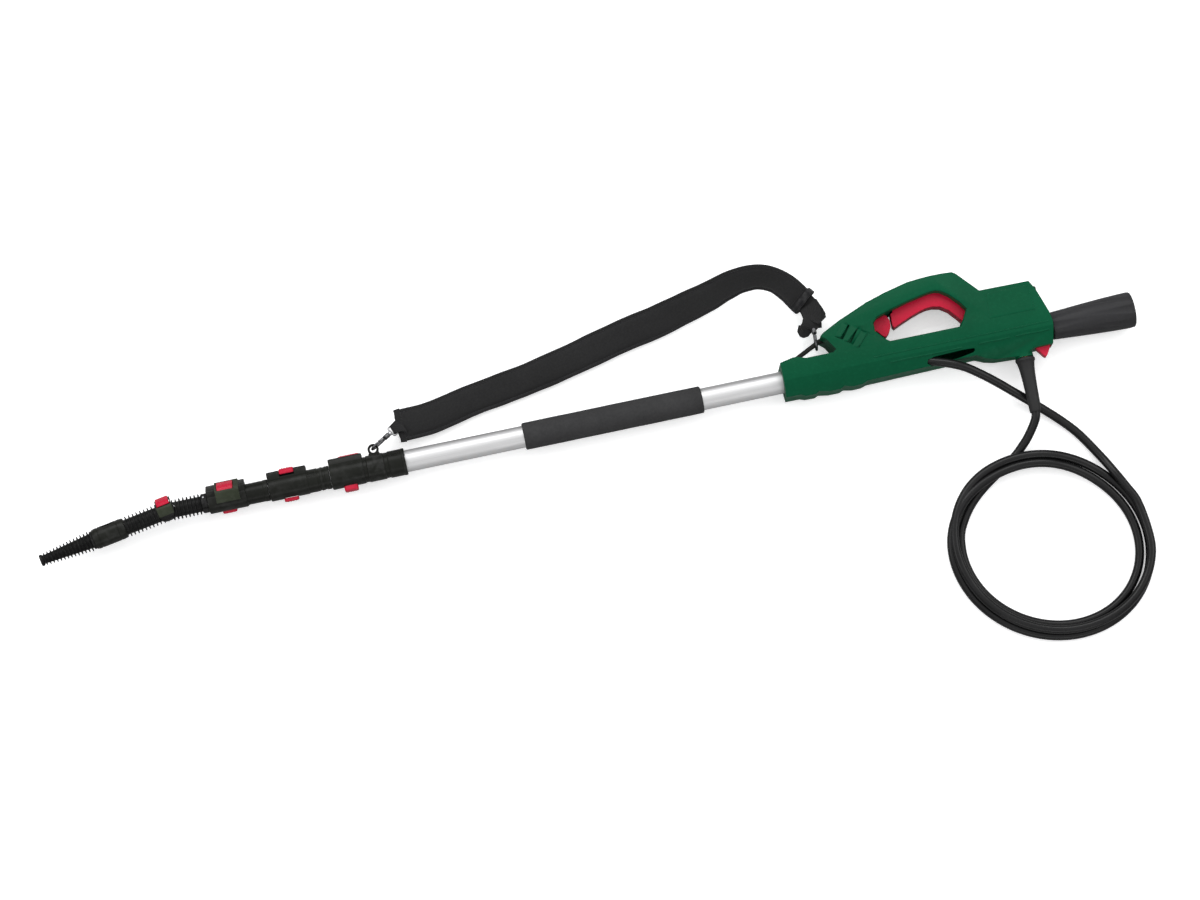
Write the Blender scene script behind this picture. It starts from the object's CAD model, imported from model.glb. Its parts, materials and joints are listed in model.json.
# Looks for the telescopic spray lance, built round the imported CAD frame. Lengths in this file are millimetres in the row
# frame unless a name ends in _m; meshes are written in metres.
import bpy, bmesh, json, math
import numpy as np
from mathutils import Vector, Matrix, noise


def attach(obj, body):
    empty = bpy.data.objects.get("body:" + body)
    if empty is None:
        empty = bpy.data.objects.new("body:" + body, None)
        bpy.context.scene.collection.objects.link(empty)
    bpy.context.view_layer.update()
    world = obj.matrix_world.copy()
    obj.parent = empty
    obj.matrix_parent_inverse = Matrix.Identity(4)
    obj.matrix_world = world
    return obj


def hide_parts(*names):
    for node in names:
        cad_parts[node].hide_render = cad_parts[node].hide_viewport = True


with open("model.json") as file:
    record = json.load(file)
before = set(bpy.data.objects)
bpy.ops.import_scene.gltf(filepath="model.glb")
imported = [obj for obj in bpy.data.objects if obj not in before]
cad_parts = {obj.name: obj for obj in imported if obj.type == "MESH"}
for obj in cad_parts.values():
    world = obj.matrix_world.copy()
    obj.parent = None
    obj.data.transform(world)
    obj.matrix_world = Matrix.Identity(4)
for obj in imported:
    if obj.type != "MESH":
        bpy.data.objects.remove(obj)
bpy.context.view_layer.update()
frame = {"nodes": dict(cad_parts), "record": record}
scene = bpy.context.scene
MM = 0.001
AX = 27.0
rad = math.radians
BODY_OF = {n: b for b, ns in frame["record"]["behaviour"]["bodies"].items() for n in ns}

# ------------------------------------------------------------------ camera
AZ, EL = rad(-12.1), rad(78)
back = Vector((math.sin(AZ) * math.cos(EL), -math.cos(AZ) * math.cos(EL), math.sin(EL)))
right = Vector((math.cos(AZ), math.sin(AZ), 0))
up = back.cross(right)
cam_data = bpy.data.cameras.new("view_camera")
cam = bpy.data.objects.new("view_camera", cam_data)
scene.collection.objects.link(cam)
cam_data.sensor_width, cam_data.lens = 36.0, 92.922
cam_data.shift_x = 0.00098
cam_data.clip_start, cam_data.clip_end = 0.05, 50
cam.matrix_world = Matrix.Translation((-0.62969, -0.88748, 4.10833)) @ Matrix((right, up, back)).transposed().to_4x4()
scene.camera = cam


# ------------------------------------------------------------------ mesh helpers
def make(name, verts, faces, mat, body, slot=None, node=None, angle=32, scale=MM, M=None, uv=None):
    me = bpy.data.meshes.new(name)
    v = np.array(verts, float).reshape(-1, 3)
    if M is not None:
        a = np.array(M, float)
        v = v @ a[:3, :3].T + a[:3, 3]
    me.from_pydata((v * scale).tolist(), [], faces)
    if uv is not None:
        layer = me.uv_layers.new(name="along")
        for poly in me.polygons:
            for li, vi in zip(poly.loop_indices, poly.vertices):
                layer.data[li].uv = uv[vi]
    o = bpy.data.objects.new(name, me)
    scene.collection.objects.link(o)
    bm = bmesh.new()
    bm.from_mesh(me)
    bmesh.ops.remove_doubles(bm, verts=bm.verts, dist=2e-6)
    bmesh.ops.recalc_face_normals(bm, faces=bm.faces)
    bm.to_mesh(me)
    bm.free()
    return dress(o, mat, body, node, angle)


def dress(o, mat, body, node=None, angle=32):
    o.data.materials.clear()
    o.data.materials.append(mat)
    o.data.shade_smooth()
    o.data.set_sharp_from_angle(angle=rad(angle))
    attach(o, body)
    if node:
        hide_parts(*([node] if isinstance(node, str) else node))
    return o


def round_poly(pts, r, segs=4, closed=True):
    """The polyline with its corners rounded to radius r, or to as much as fits; r may be a list."""
    pts = [np.array(p, float) for p in pts]
    n = len(pts)
    rs = r if isinstance(r, (list, tuple)) else [r] * n
    out = []
    for i, q in enumerate(pts):
        if not closed and i in (0, n - 1):
            out.append(q)
            continue
        p, s = pts[i - 1], pts[(i + 1) % n]
        a, b = p - q, s - q
        la, lb = np.linalg.norm(a), np.linalg.norm(b)
        a, b = a / la, b / lb
        cosv = float(np.clip(a @ b, -1, 1))
        if rs[i] <= 0 or cosv < -0.9998:
            out.append(q)
            continue
        half = math.acos(cosv) / 2
        d = min(rs[i] / math.tan(half), 0.48 * la, 0.48 * lb)
        p0, p1 = q + a * d, q + b * d
        for k in range(segs + 1):
            t = k / segs
            out.append((1 - t) ** 2 * p0 + 2 * t * (1 - t) * q + t * t * p1)
    return out


def offset_poly(pts, off):
    """Counterclockwise polygon moved inward by off."""
    pts = [np.array(p, float) for p in pts]
    n, out = len(pts), []
    for i in range(n):
        p, q, r = pts[i - 1], pts[i], pts[(i + 1) % n]
        e1, e2 = q - p, r - q
        l1, l2 = max(np.linalg.norm(e1), 1e-9), max(np.linalg.norm(e2), 1e-9)
        n1, n2 = np.array([-e1[1], e1[0]]) / l1, np.array([-e2[1], e2[0]]) / l2
        k = max(0.35, 1 + float(n1 @ n2))
        out.append(q + off * (n1 + n2) / k)
    return out


def ccw(pts):
    a = sum(p[0] * q[1] - q[0] * p[1] for p, q in zip(pts, list(pts[1:]) + [pts[0]]))
    return list(pts) if a > 0 else list(pts)[::-1]


def skin(rings, close=False, caps=True):
    """Vertices and faces between rings of the same count; close joins the last ring to the first."""
    n = len(rings[0])
    verts = [tuple(p) for ring in rings for p in ring]
    faces = []
    m = len(rings)
    for i in range(m if close else m - 1):
        a, b = i * n, ((i + 1) % m) * n
        for k in range(n):
            k1 = (k + 1) % n
            faces.append((a + k, a + k1, b + k1, b + k))
    if caps == 'flat' and not close:
        faces.append(tuple(range(n))[::-1])
        faces.append(tuple(range((m - 1) * n, m * n)))
    elif caps and not close:
        for base, flip in ((0, True), ((m - 1) * n, False)):
            c = np.mean(np.array(verts[base:base + n]), axis=0)
            verts.append(tuple(c))
            ci = len(verts) - 1
            for k in range(n):
                k1 = (k + 1) % n
                faces.append((base + k1, base + k, ci) if flip else (base + k, base + k1, ci))
    return verts, faces


def merge(*vfs):
    verts, faces = [], []
    for v, f in vfs:
        o = len(verts)
        verts += list(v)
        faces += [tuple(i + o for i in x) for x in f]
    return verts, faces


def lathe(prof, segs=64, y=0.0, z=0.0, wobble=None, closed=None):
    """A profile of (x, r) turned about the x axis through (y, z). A profile that ends on itself makes a ring."""
    prof = [tuple(p) for p in prof]
    if closed is None:
        closed = abs(prof[0][0] - prof[-1][0]) < 1e-9 and abs(prof[0][1] - prof[-1][1]) < 1e-9
    if closed and abs(prof[0][0] - prof[-1][0]) < 1e-9 and abs(prof[0][1] - prof[-1][1]) < 1e-9:
        prof = prof[:-1]
    rings = []
    for x, r in prof:
        ring = []
        for k in range(segs):
            a = 2 * math.pi * k / segs
            rr = max(0.0, r + (wobble(x, a, r) if wobble else 0))
            ring.append((x, y + rr * math.cos(a), z + rr * math.sin(a)))
        rings.append(ring)
    return skin(rings, close=closed, caps=False)


def turn(M, vf):
    v = np.array(vf[0], float)
    a = np.array(M, float)
    return (v @ a[:3, :3].T + a[:3, 3]).tolist(), vf[1]


def catmull(points, u):
    """Centripetal Catmull-Rom point at u, from 0 to 1 over evenly numbered points."""
    P = [np.array(p, float) for p in points]
    l = len(P)
    p = (l - 1) * u
    i = min(int(math.floor(p)), l - 2)
    w = p - i
    p0 = P[i - 1] if i > 0 else 2 * P[0] - P[1]
    p1, p2 = P[i], P[i + 1]
    p3 = P[i + 2] if i + 2 < l else 2 * P[-1] - P[-2]
    d0 = max(np.linalg.norm(p0 - p1) ** 0.5, 1e-4)
    d1 = max(np.linalg.norm(p1 - p2) ** 0.5, 1e-4)
    d2 = max(np.linalg.norm(p2 - p3) ** 0.5, 1e-4)
    t1 = ((p1 - p0) / d0 - (p2 - p0) / (d0 + d1) + (p2 - p1) / d1) * d1
    t2 = ((p2 - p1) / d1 - (p3 - p1) / (d1 + d2) + (p3 - p2) / d2) * d1
    return p1 + t1 * w + (-3 * p1 + 3 * p2 - 2 * t1 - t2) * w * w + (2 * p1 - 2 * p2 + t1 + t2) * w ** 3


def smooth_path(points, step=2.0):
    dense = np.array([catmull(points, k / 1200) for k in range(1201)])
    along = np.concatenate([[0], np.cumsum(np.linalg.norm(np.diff(dense, axis=0), axis=1))])
    at = np.linspace(0, along[-1], max(3, int(along[-1] / step) + 1))
    return np.stack([np.interp(at, along, dense[:, k]) for k in range(3)], axis=1)


def sweep(path, section, closed=False, scale=None, start_up=(0, 0, 1)):
    """A section of (a, b) points carried along a path without twisting."""
    path = [np.array(p, float) for p in path]
    n = len(path)
    tang = []
    for i in range(n):
        a = path[i - 1] if (i > 0 or closed) else path[i]
        b = path[(i + 1) % n] if (i < n - 1 or closed) else path[i]
        t = b - a
        tang.append(t / max(np.linalg.norm(t), 1e-9))
    u = np.array(start_up, float)
    u = u - (u @ tang[0]) * tang[0]
    if np.linalg.norm(u) < 1e-6:
        u = np.array((0, 1, 0), float) - tang[0][1] * tang[0]
    u /= np.linalg.norm(u)
    rings = []
    for i in range(n):
        u = u - (u @ tang[i]) * tang[i]
        u /= np.linalg.norm(u)
        v = np.cross(tang[i], u)
        s = 1 if scale is None else scale(i / max(1, n - 1))
        rings.append([tuple(path[i] + s * (a * v + b * u)) for a, b in section])
    return skin(rings, close=closed, caps=not closed)


def circ(r, n=16, ry=None):
    ry = r if ry is None else ry
    return [(r * math.cos(2 * math.pi * k / n), ry * math.sin(2 * math.pi * k / n)) for k in range(n)]


def rrect(w, h, r, segs=4):
    return [tuple(p) for p in round_poly([(-w / 2, -h / 2), (w / 2, -h / 2), (w / 2, h / 2), (-w / 2, h / 2)], r, segs)]


def puck(outline, z0, z1, r_top=1.0, r_bot=0.0, segs=4, crown=0.0):
    """An outline raised from z0 to z1 with rounded rims; crown lifts the middle of the top."""
    o = ccw([tuple(p[:2]) for p in outline])
    rings = []

    def ring(off, z):
        rings.append([(p[0], p[1], z) for p in (offset_poly(o, off) if off else o)])
    if r_bot:
        for k in range(segs + 1):
            a = math.pi / 2 * k / segs
            ring(r_bot * (1 - math.sin(a)), z0 + r_bot * (1 - math.cos(a)))
    else:
        ring(0, z0)
    if r_top:
        for k in range(segs + 1):
            a = math.pi / 2 * k / segs
            ring(r_top * (1 - math.cos(a)), z1 - r_top * (1 - math.sin(a)))
    else:
        ring(0, z1)
    if not crown:
        return skin(rings, caps='flat')
    v, f = skin(rings)
    c = len(v) - 1
    v[c] = (v[c][0], v[c][1], v[c][2] + crown)
    return v, f


def prism_x(section, x0, x1, r0=1.0, r1=1.0, segs=3):
    """A section of (y, z) points run along x, its two ends rounded."""
    s = ccw([tuple(p) for p in section])
    q = [math.pi / 2 * k / segs for k in range(segs + 1)]
    first = [[(x0 + r0 * (1 - math.cos(a)), p[0], p[1]) for p in offset_poly(s, r0 * (1 - math.sin(a)))] for a in q]
    last = [[(x1 - r1 * (1 - math.cos(a)), p[0], p[1]) for p in offset_poly(s, r1 * (1 - math.sin(a)))] for a in q[::-1]]
    return skin(first + last, caps='flat')


def rotx(deg, y=0.0, z=AX):
    return Matrix.Translation((0, y, z)) @ Matrix.Rotation(rad(deg), 4, 'X')


def temp(vf, M=None):
    """A scratch object in metres for a boolean."""
    v = np.array(vf[0], float)
    if M is not None:
        a = np.array(M, float)
        v = v @ a[:3, :3].T + a[:3, 3]
    me = bpy.data.meshes.new("tmp")
    me.from_pydata((v * MM).tolist(), [], vf[1])
    o = bpy.data.objects.new("tmp", me)
    scene.collection.objects.link(o)
    bm = bmesh.new()
    bm.from_mesh(me)
    bmesh.ops.remove_doubles(bm, verts=bm.verts, dist=2e-6)
    bmesh.ops.recalc_face_normals(bm, faces=bm.faces)
    bm.to_mesh(me)
    bm.free()
    return o


def boolean(o, cutters, op='DIFFERENCE'):
    for c in cutters:
        m = o.modifiers.new("b", 'BOOLEAN')
        m.operation, m.solver, m.object = op, 'EXACT', c
        dg = bpy.context.evaluated_depsgraph_get()
        me = bpy.data.meshes.new_from_object(o.evaluated_get(dg))
        o.modifiers.clear()
        old, o.data = o.data, me
        bpy.data.meshes.remove(old)
        cm = c.data
        bpy.data.objects.remove(c)
        bpy.data.meshes.remove(cm)
    return o


def to_vf(o):
    v = [tuple(np.array(x.co) / MM) for x in o.data.vertices]
    f = [tuple(p.vertices) for p in o.data.polygons]
    me = o.data
    bpy.data.objects.remove(o)
    bpy.data.meshes.remove(me)
    return v, f


def refine(node, mat, groups, angle=32, name=None, cut_x=None):
    """A copy of a CAD node with its flats joined and its edges rounded. groups are (test of an edge, width, segments)."""
    src = frame["nodes"][node]
    me = src.data.copy()
    o = bpy.data.objects.new(name or node + "_shell", me)
    scene.collection.objects.link(o)
    bm = bmesh.new()
    bm.from_mesh(me)
    bmesh.ops.remove_doubles(bm, verts=bm.verts, dist=2e-6)
    bmesh.ops.dissolve_limit(bm, angle_limit=rad(0.6), verts=bm.verts, edges=bm.edges)
    for test, width, segs in groups:
        bm.normal_update()
        chosen = [e for e in bm.edges if len(e.link_faces) == 2 and e.calc_face_angle(0) > rad(8) and test(e)]
        if chosen:
            bmesh.ops.bevel(bm, geom=chosen, offset=width * MM, offset_type='OFFSET', segments=segs, profile=0.5,
                            affect='EDGES', clamp_overlap=True, loop_slide=True)
    bmesh.ops.recalc_face_normals(bm, faces=bm.faces)
    bm.to_mesh(me)
    bm.free()
    return dress(o, mat, BODY_OF[node], node, angle)


# ------------------------------------------------------------------ materials
class Mat:
    def __init__(self, name):
        self.m = bpy.data.materials.new(name)
        self.m.use_nodes = True
        self.t = self.m.node_tree
        self.t.nodes.clear()
        self.out = self.n('ShaderNodeOutputMaterial')
        self.p = self.n('ShaderNodeBsdfPrincipled')
        self.l(self.p.outputs[0], self.out.inputs[0])
        self.tc = self.n('ShaderNodeTexCoord')

    def n(self, kind, **kw):
        o = self.t.nodes.new(kind)
        for k, v in kw.items():
            setattr(o, k, v)
        return o

    def l(self, a, b):
        self.t.links.new(a, b)

    def set(self, **kw):
        for k, v in kw.items():
            self.p.inputs[k.replace('_', ' ')].default_value = v

    def coord(self, scale=(1, 1, 1), which='Object'):
        m = self.n('ShaderNodeMapping')
        m.inputs['Scale'].default_value = scale
        self.l(self.tc.outputs[which], m.inputs['Vector'])
        return m.outputs[0]

    def noise(self, scale, detail=3, rough=0.55, vec=None, stretch=(1, 1, 1)):
        x = self.n('ShaderNodeTexNoise')
        x.inputs['Scale'].default_value = scale
        x.inputs['Detail'].default_value = detail
        x.inputs['Roughness'].default_value = rough
        self.l(vec if vec is not None else self.coord(stretch), x.inputs['Vector'])
        return x.outputs['Fac']

    def remap(self, src, a0, a1, b0, b1):
        r = self.n('ShaderNodeMapRange')
        for k, v in zip((1, 2, 3, 4), (a0, a1, b0, b1)):
            r.inputs[k].default_value = v
        self.l(src, r.inputs[0])
        return r.outputs[0]

    def math(self, op, a, b=None):
        x = self.n('ShaderNodeMath', operation=op)
        for i, v in enumerate((a, b)):
            if v is None:
                continue
            if isinstance(v, (int, float)):
                x.inputs[i].default_value = v
            else:
                self.l(v, x.inputs[i])
        return x.outputs[0]

    def mix(self, fac, c1, c2):
        x = self.n('ShaderNodeMix', data_type='RGBA')
        if isinstance(fac, (int, float)):
            x.inputs[0].default_value = fac
        else:
            self.l(fac, x.inputs[0])
        for i, c in ((6, c1), (7, c2)):
            if isinstance(c, (tuple, list)):
                x.inputs[i].default_value = (*c, 1)
            else:
                self.l(c, x.inputs[i])
        return x.outputs[2]

    def bump(self, height, strength, dist, normal=None):
        b = self.n('ShaderNodeBump')
        b.inputs['Strength'].default_value = strength
        b.inputs['Distance'].default_value = dist
        self.l(height, b.inputs['Height'])
        if normal is not None:
            self.l(normal, b.inputs['Normal'])
        return b.outputs[0]

    def edges(self, lo=0.52, hi=0.62):
        g = self.n('ShaderNodeNewGeometry')
        return self.remap(g.outputs['Pointiness'], lo, hi, 0, 1)

    def color(self, x):
        self.l(x, self.p.inputs['Base Color'])

    def rough(self, x):
        self.l(x, self.p.inputs['Roughness'])

    def normal(self, x):
        self.l(x, self.p.inputs['Normal'])


def plastic(name, c1, c2, r0, r1, grain=900, grain_s=0.25, wear=(0.1, 0.1, 0.1), wear_amt=0.35, spec=0.5, fleck=0.0):
    m = Mat(name)
    base = m.mix(m.remap(m.noise(9, 4), 0.35, 0.65, 0, 1), c1, c2)
    fine = m.noise(260, 3)
    base = m.mix(m.remap(fine, 0.5, 0.8, 0, 0.22), base, tuple(min(1, c * 1.5 + 0.004) for c in c2))
    scuff = m.math('MULTIPLY', m.edges(0.515, 0.56), m.remap(m.noise(120, 4), 0.42, 0.62, 0, wear_amt))
    base = m.mix(scuff, base, wear)
    m.color(base)
    m.rough(m.remap(m.math('ADD', m.noise(26, 4), m.math('MULTIPLY', m.noise(900, 2), 0.4)), 0.45, 0.95, r0, r1))
    h = m.bump(m.noise(grain, 2, 0.6), grain_s, 0.00025)
    h = m.bump(m.noise(55, 3), 0.10, 0.0006, h)
    m.normal(h)
    m.p.inputs['Specular IOR Level'].default_value = spec
    return m.m


GREEN = plastic("green_plastic", (0.0010, 0.058, 0.0245), (0.0016, 0.070, 0.0300), 0.30, 0.42, 1100, 0.16, (0.03, 0.17, 0.10), 0.08, 0.055)
RED = plastic("red_plastic", (0.40, 0.0065, 0.028), (0.47, 0.0095, 0.036), 0.20, 0.34, 900, 0.07, (0.55, 0.06, 0.09), 0.25, 0.17)
BLACK = plastic("black_plastic", (0.0060, 0.0066, 0.0052), (0.0092, 0.0100, 0.0080), 0.28, 0.40, 1000, 0.22, (0.05, 0.05, 0.05), 0.30, 0.13)
DARKFIN = plastic("fin_plastic", (0.0050, 0.0052, 0.0051), (0.0080, 0.0082, 0.0081), 0.36, 0.50, 1000, 0.22, (0.04, 0.04, 0.04), 0.35, 0.12)
CONE = plastic("cone_plastic", (0.018, 0.018, 0.019), (0.026, 0.026, 0.028), 0.42, 0.56, 1300, 0.45, (0.07, 0.07, 0.07), 0.35, 0.16)
OLIVE = plastic("frame_plastic", (0.018, 0.023, 0.013), (0.027, 0.033, 0.020), 0.42, 0.56, 900, 0.25, (0.08, 0.09, 0.07), 0.30, 0.14)
KEEP = plastic("buckle_plastic", (0.007, 0.007, 0.008), (0.011, 0.011, 0.012), 0.30, 0.45, 800, 0.2, (0.06, 0.06, 0.06), 0.35, 0.12)


def aluminium():
    m = Mat("satin_aluminium")
    streak = m.noise(1, 4, 0.6, m.coord((5, 1500, 1500)))
    broad = m.noise(14, 3)
    m.set(Metallic=1.0)
    m.color(m.mix(m.remap(streak, 0.3, 0.7, 0, 1), (0.58, 0.58, 0.585), (0.68, 0.68, 0.685)))
    r = m.math('ADD', m.math('MULTIPLY', streak, 0.16), m.math('MULTIPLY', broad, 0.10))
    m.rough(m.remap(r, 0.06, 0.20, 0.46, 0.60))
    h = m.bump(streak, 0.12, 0.0001)
    scratch = m.noise(1, 2, 0.5, m.coord((900, 30, 30)))
    h = m.bump(m.remap(scratch, 0.62, 0.68, 0, 1), 0.05, 0.0001, h)
    m.normal(h)
    return m.m


def steel(name="dark_steel", c1=(0.085, 0.085, 0.09), c2=(0.16, 0.16, 0.165)):
    m = Mat(name)
    m.set(Metallic=1.0)
    a = m.noise(300, 4, 0.65)
    m.color(m.mix(m.remap(a, 0.35, 0.7, 0, 1), c1, c2))
    m.rough(m.remap(m.noise(700, 3), 0.3, 0.7, 0.20, 0.42))
    m.normal(m.bump(m.noise(500, 3), 0.12, 0.0002))
    return m.m


def brass():
    m = Mat("turned_brass")
    m.set(Metallic=1.0)
    a = m.noise(180, 4)
    m.color(m.mix(m.remap(a, 0.3, 0.7, 0, 1), (0.50, 0.33, 0.13), (0.68, 0.48, 0.22)))
    m.rough(m.remap(a, 0.3, 0.7, 0.24, 0.42))
    m.normal(m.bump(m.noise(1, 2, 0.5, m.coord((2600, 60, 60))), 0.15, 0.0001))
    return m.m


def foam():
    m = Mat("grip_foam")
    v = m.n('ShaderNodeTexVoronoi', feature='F1')
    v.inputs['Scale'].default_value = 1150
    m.l(m.coord(), v.inputs['Vector'])
    cell = v.outputs['Distance']
    big = m.noise(22, 4)
    m.color(m.mix(m.remap(big, 0.3, 0.7, 0, 1), (0.021, 0.021, 0.022), (0.032, 0.032, 0.033)))
    m.rough(m.remap(m.noise(300, 3), 0.3, 0.7, 0.72, 0.92))
    h = m.bump(m.remap(cell, 0.0, 0.55, 0, 1), 0.55, 0.00035)
    h = m.bump(big, 0.25, 0.0012, h)
    m.normal(h)
    m.p.inputs['Specular IOR Level'].default_value = 0.3
    return m.m


def fabric(name, c1, c2, across=900.0, twill=False, amount=0.6):
    """Woven cloth; its threads follow the piece's own lengthwise and crosswise coordinates, in metres."""
    m = Mat(name)
    uv = m.n('ShaderNodeUVMap')
    uv.uv_map = "along"
    sep = m.n('ShaderNodeSeparateXYZ')
    m.l(uv.outputs[0], sep.inputs[0])
    wob = m.math('MULTIPLY', m.math('SUBTRACT', m.noise(60, 2), 0.5), 0.0012)
    u = m.math('ADD', sep.outputs[0], wob)
    v = m.math('ADD', sep.outputs[1], wob)
    if twill:
        s = m.math('SINE', m.math('MULTIPLY', m.math('ADD', u, v), across * 2 * math.pi / 2))
        s2 = m.math('SINE', m.math('MULTIPLY', v, across * 2 * math.pi))
        w = m.math('ADD', m.math('MULTIPLY', s, 0.6), m.math('MULTIPLY', s2, 0.4))
    else:
        su = m.math('SINE', m.math('MULTIPLY', u, across * math.pi))
        sv = m.math('SINE', m.math('MULTIPLY', v, across * math.pi))
        w = m.math('MULTIPLY', su, sv)
    w01 = m.math('ADD', m.math('MULTIPLY', w, 0.5), 0.5)
    base = m.mix(m.remap(m.noise(16, 4), 0.3, 0.7, 0, 1), c1, c2)
    base = m.mix(m.math('MULTIPLY', w01, 0.5), base, tuple(c * 1.7 for c in c2))
    m.color(base)
    m.rough(m.remap(m.noise(400, 3), 0.3, 0.7, 0.78, 0.95))
    h = m.bump(w01, amount, 0.00035)
    h = m.bump(m.noise(700, 3), 0.25, 0.0003, h)
    m.normal(h)
    m.set(Sheen_Weight=0.12, Sheen_Roughness=0.5)
    m.p.inputs['Specular IOR Level'].default_value = 0.25
    return m.m


def rubber(name, c1, c2, r0, r1, grain=400, s=0.12, spec=0.25):
    m = Mat(name)
    m.color(m.mix(m.remap(m.noise(20, 4), 0.35, 0.65, 0, 1), c1, c2))
    dust = m.noise(180, 5, 0.7)
    m.rough(m.remap(m.math('ADD', m.math('MULTIPLY', dust, 0.5), m.math('MULTIPLY', m.noise(30, 3), 0.5)), 0.35, 0.65, r0, r1))
    h = m.bump(m.noise(grain, 3), s, 0.0003)
    m.normal(h)
    m.p.inputs['Specular IOR Level'].default_value = spec
    return m.m


ALU = aluminium()
STEEL = steel()
PIN = steel("pin_steel", (0.42, 0.42, 0.43), (0.58, 0.58, 0.60))
BRASS = brass()
FOAM = foam()
PAD = fabric("strap_cloth", (0.0066, 0.0066, 0.0070), (0.0100, 0.0100, 0.0104), 900, False, 0.55)
WEBBING = fabric("strap_webbing", (0.0062, 0.0062, 0.0066), (0.0100, 0.0100, 0.0104), 520, True, 0.8)
THREAD = fabric("strap_thread", (0.016, 0.016, 0.017), (0.026, 0.026, 0.028), 1600, True, 0.6)
HOSE = rubber("hose_rubber", (0.0042, 0.0042, 0.0045), (0.0075, 0.0075, 0.0080), 0.20, 0.36, 260, 0.10)
BOOT = rubber("boot_rubber", (0.010, 0.010, 0.0105), (0.016, 0.016, 0.0165), 0.45, 0.62, 600, 0.25)
SEAL = rubber("seal_rubber", (0.010, 0.010, 0.011), (0.016, 0.016, 0.017), 0.35, 0.5, 500, 0.2)

# ------------------------------------------------------------------ the hose: one length from the boot, round the coil, into the pole
HOSE_D = 12.0
CX, CY, CA, CB, CROT = 120.1, -289.6, 128.5, 115.2, rad(-29.8)
LEAD_OUT = [(141.04, -101.2, 25.42), (140.8, -107, 25.28), (140.5, -113, 25.1), (138.6, -119, 24.2), (134.4, -126.6, 21.8), (127.4, -136.2, 18.4), (120.5, -144.5, 15.4), (114, -150.8, 12.6),
            (102.5, -161.1, 9.4), (87, -171.5, 7.2), (69.6, -182.3, 6.2), (52, -194.0, 6.1), (36.5, -206.4, 6.1), (25.2, -218.0, 6.1), (15.5, -231.0, 6.1), (7.0, -246.0, 6.1)]
LEAD_IN = [(217.5, -191, 8.6), (208.8, -174.5, 6.4), (199.5, -158.6, 6.3), (189.7, -144, 6.3), (173, -124.5, 6.3), (154.7, -106.3, 7.2), (136.3, -90.2, 12), (117, -75, 19.5),
           (98.3, -60.6, 28), (78, -46.5, 37), (58.7, -34.6, 44), (42, -27, 46.5), (26, -20.6, 45), (10, -13.5, 39.5), (-6, -5.5, 32), (-18, -1, 27.6), (-28.5, 0, 27)]


def ell(theta_deg, rho, z):
    psi = rad(theta_deg) - CROT
    a, b = CA + rho, CB + rho
    r = a * b / math.hypot(b * math.cos(psi), a * math.sin(psi))
    return (CX + r * math.cos(rad(theta_deg)), CY + r * math.sin(rad(theta_deg)), z)


def ramp(t, a, b):
    x = min(1.0, max(0.0, (t - a) / (b - a)))
    return x * x * (3 - 2 * x)


def coil_state(th):
    """Offset from the ring's middle line and height of the hose at a winding angle, in degrees."""
    lift = 12.6
    rho, z = -6.6, 6.1
    # first pass over the leading end, at the ring's upper left
    z += lift * ramp(th, 392, 444) - lift * ramp(th, 506, 566)
    rho += 13.2 * ramp(th, 468, 536)
    # second pass
    z += lift * ramp(th, 752, 804) - (lift - 10.6) * ramp(th, 866, 926)
    rho += -6.0 * ramp(th, 840, 916)
    rho += 5.6 * ramp(th, 1002, 1068)
    rho += 1.3 * math.sin(rad(th * 0.73 + 40)) * ramp(th, 170, 240) * (1 - ramp(th, 1010, 1060)) * (1 - ramp(th, 820, 860))
    return rho, z


hose_pts = list(LEAD_OUT)
th = 164.0
while th <= 1068.1:
    rho, z = coil_state(th)
    hose_pts.append(ell(th, rho, z))
    th += 11.3
hose_pts += [(246.0, -256.5, 17.3), (237.5, -236.5, 17.0), (227.9, -215.4, 15.6)] + LEAD_IN
hose_line = smooth_path(hose_pts, 6.0)
dense = np.array([catmull(hose_pts, k / 6000) for k in range(6001)])
al = np.concatenate([[0], np.cumsum(np.linalg.norm(np.diff(dense, axis=0), axis=1))])
at = np.linspace(0, al[-1], int(al[-1] / 5.0))
hose_line = np.stack([np.interp(at, al, dense[:, k]) for k in range(3)], axis=1)
cd = bpy.data.curves.new("feed_hose", 'CURVE')
cd.dimensions = '3D'
sp = cd.splines.new('POLY')
sp.points.add(len(hose_line) - 1)
for i, p in enumerate(hose_line):
    sp.points[i].co = (p[0] * MM, p[1] * MM, p[2] * MM, 1)
cd.bevel_depth = HOSE_D / 2 * MM
cd.bevel_resolution = 6
cd.use_fill_caps = True
sp.use_smooth = True
hose = bpy.data.objects.new("feed_hose", cd)
scene.collection.objects.link(hose)
cd.materials.append(HOSE)
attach(hose, "root")
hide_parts("hose_lead_out", "hose_coil", "hose_lead_in")

# ------------------------------------------------------------------ pole tubes and grip
P = Matrix.Translation((0, 0, AX))
E = Matrix.Translation((-1033, 0, AX)) @ Matrix.Rotation(rad(10), 4, 'Z')


def ring_prof(x0, x1, r, b, lip=0.45):
    return round_poly([(x0, b), (x1, b), (x1, r), (x0, r)], lip, 3)


def along_prof(x0, x1, r, step):
    n = max(1, int(abs(x1 - x0) / step))
    return [(x0 + (x1 - x0) * k / n, r) for k in range(n + 1)]


for n, (r, b, x0, x1) in {"outer_tube": (15, 13.7, -790, -30), "stage_1_tube": (13.2, 12.0, -882, -142),
                          "stage_2_tube": (11.5, 10.3, -965, -225), "stage_3_tube": (9.8, 8.6, -1010, -282)}.items():
    v, f = lathe(ring_prof(x0, x1, r, b), 72, closed=True)
    make(n + "_drawn", v, f, ALU, BODY_OF[n], "pole", n, 40, M=P)


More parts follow.
